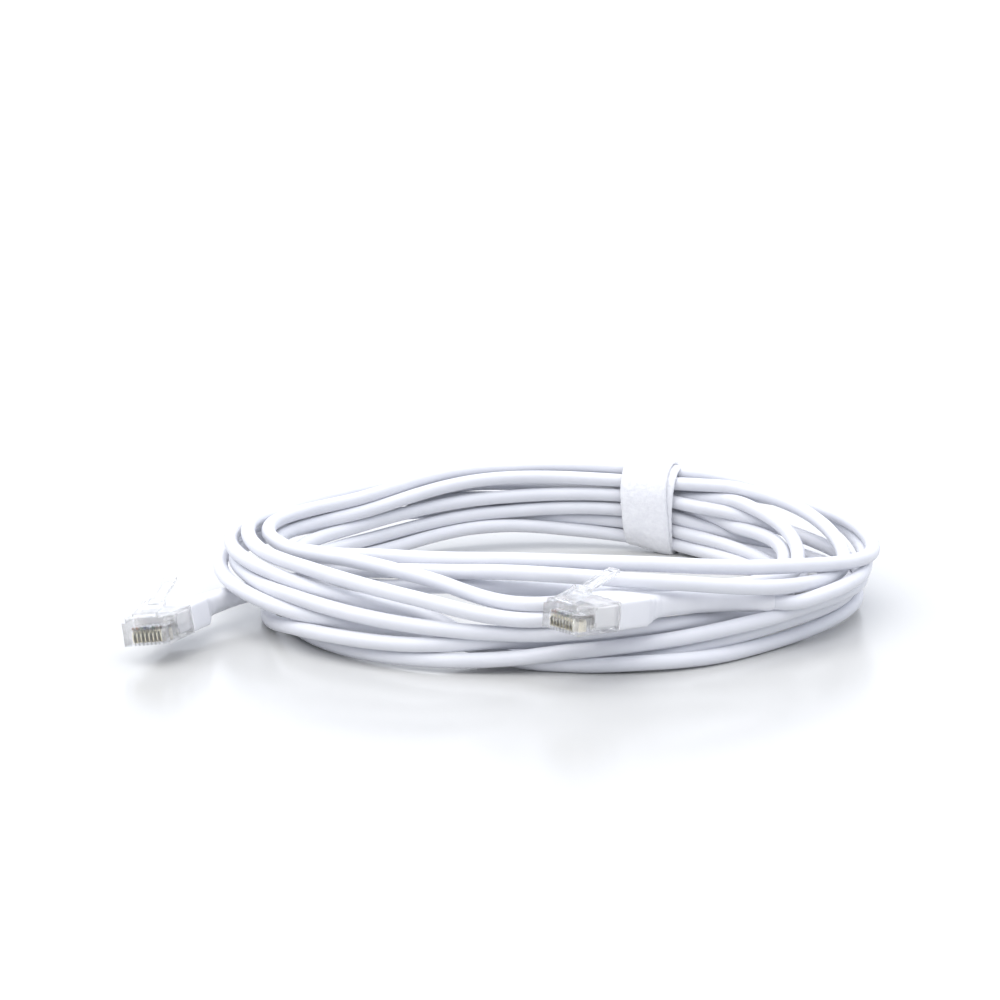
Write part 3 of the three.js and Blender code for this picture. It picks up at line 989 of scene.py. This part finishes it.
def wire_mesh(number):
    """A conductor's cut end: its core, a little proud of its insulation."""
    x = contact_x(number)
    jacket = rod(x, WIRE_HEIGHT, WIRE_FRONT + GAP, CAVITY_FRONT, WIRE_DIAMETER / 2, WIRE_SIDES)
    core_end = WIRE_FRONT + GAP + CORE_SEAT
    core = rod(x, WIRE_HEIGHT, WIRE_FRONT + CORE_START, core_end, CORE_RADIUS, CORE_SIDES)
    return carved([jacket, core], [], WIRE_EDGE)


shell, latch, block = housing_mesh(), latch_mesh(), block_mesh()
wires = [wire_mesh(number) for number in range(1, CONTACT_COUNT + 1)]
for letter in PLUG_PLACES:
    node = f"plug_{letter}_"
    plug_piece(f"shell_{letter}", shell, letter, CLEAR, "cable", node + "housing")
    plug_piece(f"finger_{letter}", latch, letter, CLEAR, f"latch_{letter}", node + "latch")
    plug_piece(f"block_{letter}", block, letter, BLOCK, "cable", node + "wire_block")
    for number, mesh in enumerate(wires, start=1):
        name = f"conductor_{letter}_{number}"
        finish = CONDUCTORS[number - 1]
        plug_piece(name, mesh, letter, finish, "cable", node + f"wire_{number}")
        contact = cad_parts[node + f"contact_{number}"]
        contact.data.materials.clear()
        contact.data.materials.append(GOLD)


# ---- hook-and-loop tie -------------------------------------------------------------------------------

def tie_loop(turned):
    """A point of the tie's loop in its own plane (outwards, up).

    turned is the angle gone round, from straight down at the bottom, up the inner side first.
    The top slopes down to the inner side, where the turns are stacked one fewer.
    """
    angle = -math.pi / 2 - turned
    cosine, sine = math.cos(angle), math.sin(angle)
    power = 2 / TIE_SQUARENESS
    rise = np.sign(sine) * abs(sine) ** power
    outwards = np.sign(cosine) * (abs(cosine) ** power * TIE_DEPTH / 2 + TIE_BULGE * cosine**2)
    top = TIE_TOP - TIE_SLOPE * (0.5 - outwards / TIE_DEPTH)
    middle = (TIE_THICKNESS + TIE_TOP) / 2
    return np.array([outwards, middle + rise * ((top if rise > 0 else TIE_TOP) - middle)])


def side_normals(line):
    """Unit tangents of a flat line, and unit normals that point out of its loop."""
    tangent = np.gradient(line, axis=0)
    tangent /= np.linalg.norm(tangent, axis=1)[:, None]
    normal = np.column_stack([-tangent[:, 1], tangent[:, 0]])
    if normal[0] @ (line[0] - line.mean(axis=0)) < 0:
        normal = -normal
    return tangent, normal


def tie_strip_line():
    """The middle line of the whole strip: the under layer, one full turn, the lap and its loose tail."""
    steps = np.linspace(TIE_START, TIE_START + 2 * math.pi + TIE_LAP, TIE_STEPS)
    loop = np.array([tie_loop(turned) for turned in steps])
    tangent, normal = side_normals(loop)
    over = smoothstep((steps - TIE_START - 2 * math.pi + LAP_EARLY) / LAP_SPAN)
    lift = TIE_THICKNESS * (0.5 + LAP_CLIMB * over)
    line = loop + normal * lift[:, None]
    tail = []
    for distance in np.arange(TAIL_STEP, TIE_TAIL, TAIL_STEP):
        rise = TAIL_CURL * distance**2 - TAIL_DROOP * distance
        tail.append(line[-1] + tangent[-1] * distance + np.array([0, rise]))
    return np.vstack([line, tail])


def make_tie():
    line = tie_strip_line()
    normal = side_normals(line)[1]
    along = np.r_[0, np.cumsum(np.linalg.norm(np.diff(line, axis=0), axis=1))]
    share = along / along[-1]
    outward, beside = tie_ways()

    # The strip wanders a little sideways as it goes round, so that its layers don't line up.
    wander = TIE_SHIFT * (smoothstep((share - SHIFT_START) / SHIFT_SPAN) - SHIFT_REST)
    wander += TIE_WEAVE * np.sin(share * WEAVE_RATE)
    wander -= TIE_SKEW * smoothstep((share - SKEW_START) / SKEW_SPAN)
    across = np.linspace(-1, 1, TIE_COLUMNS)
    past_edge = (np.abs(across) - EDGE_START).clip(0)
    edge = np.sqrt(np.clip(1 - past_edge**2 / EDGE_SPAN**2, 0, 1))
    half_thick = 0.5 * TIE_THICKNESS * (EDGE_THICKNESS + (1 - EDGE_THICKNESS) * edge)
    rings = []
    for place in range(len(line)):
        fray = rng.normal(0, FRAY, 2)
        half_width = TIE_WIDTH / 2 + fray
        x = np.where(across < 0, across * half_width[0], across * half_width[1]) + wander[place]
        top = line[place] + normal[place] * half_thick[:, None]
        under = line[place] - normal[place] * half_thick[:, None]
        ring = np.vstack([
            np.column_stack([top, x]),
            np.column_stack([under[::-1], x[::-1]]),
        ])
        rings.append(ring)
    flat = np.vstack(rings)
    points = tie_middle() + np.outer(flat[:, 0], outward) + np.outer(flat[:, 2], beside)
    # The bundle leaves the floor to the left of the tie, and the tie's underside goes with it.
    lifted = smoothstep((flat[:, 2] / TIE_WIDTH) + 0.5) * (1 - smoothstep(flat[:, 1] / TIE_LIFT_HEIGHT))
    points[:, 2] += flat[:, 1] + TIE_LIFT * lifted
    points += rng.normal(0, PILE_ROUGHNESS, points.shape)
    points[:, 2] = np.maximum(points[:, 2], TIE_FLOOR_GAP)
    tie = new_piece("tie", points, capped_faces(len(line), 2 * TIE_COLUMNS), TIE)
    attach(tie, "cable")
    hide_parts("tie_band", "tie_flap")
    return tie


def make_pile(tie):
    """The fuzz of the tie's loops: short bent fibres all over it."""
    mesh = tie.data
    mesh.calc_loop_triangles()
    place = np.array([vertex.co for vertex in mesh.vertices]) / MM
    way = np.array([vertex.normal for vertex in mesh.vertices])
    corners = np.array([triangle.vertices for triangle in mesh.loop_triangles])
    areas = np.array([triangle.area for triangle in mesh.loop_triangles])
    picked = corners[rng.choice(len(corners), FIBRES, p=areas / areas.sum())]
    weights = rng.dirichlet((1, 1, 1), FIBRES)
    roots = np.einsum("ij,ijk->ik", weights, place[picked])
    ways = np.einsum("ij,ijk->ik", weights, way[picked])
    points, faces = [], []
    for root, out in zip(roots, ways):
        lean = rng.normal(0, 1, 3)
        lean -= out * (lean @ out)
        lean /= np.linalg.norm(lean)
        height = rng.uniform(*FIBRE_HEIGHT)
        reach = rng.uniform(*FIBRE_REACH)
        cross = np.cross(out, lean)
        first = len(points)
        for ring in range(FIBRE_RINGS):
            t = ring / (FIBRE_RINGS - 1)
            rise = height * math.sin(FIBRE_CURL * t) - FIBRE_ROOT
            centre = root + out * rise + lean * reach * t
            radius = FIBRE_RADIUS * (1 - FIBRE_TAPER * t)
            for side in range(FIBRE_SIDES):
                turn = side * 2 * math.pi / FIBRE_SIDES
                points.append(centre + radius * (math.cos(turn) * cross + math.sin(turn) * (out - lean)))
        faces += grid_faces(FIBRE_RINGS, FIBRE_SIDES, start=first)
        faces.append(tuple(first + side for side in reversed(range(FIBRE_SIDES))))
        last = first + (FIBRE_RINGS - 1) * FIBRE_SIDES
        faces.append(tuple(last + side for side in range(FIBRE_SIDES)))
    points = np.array(points)
    points[:, 2] = np.maximum(points[:, 2], FIBRE_FLOOR_GAP)
    pile = new_piece("tie_pile", points, faces, TIE)
    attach(pile, "cable")


make_pile(make_tie())

bpy.context.scene.view_settings.view_transform = "Standard"
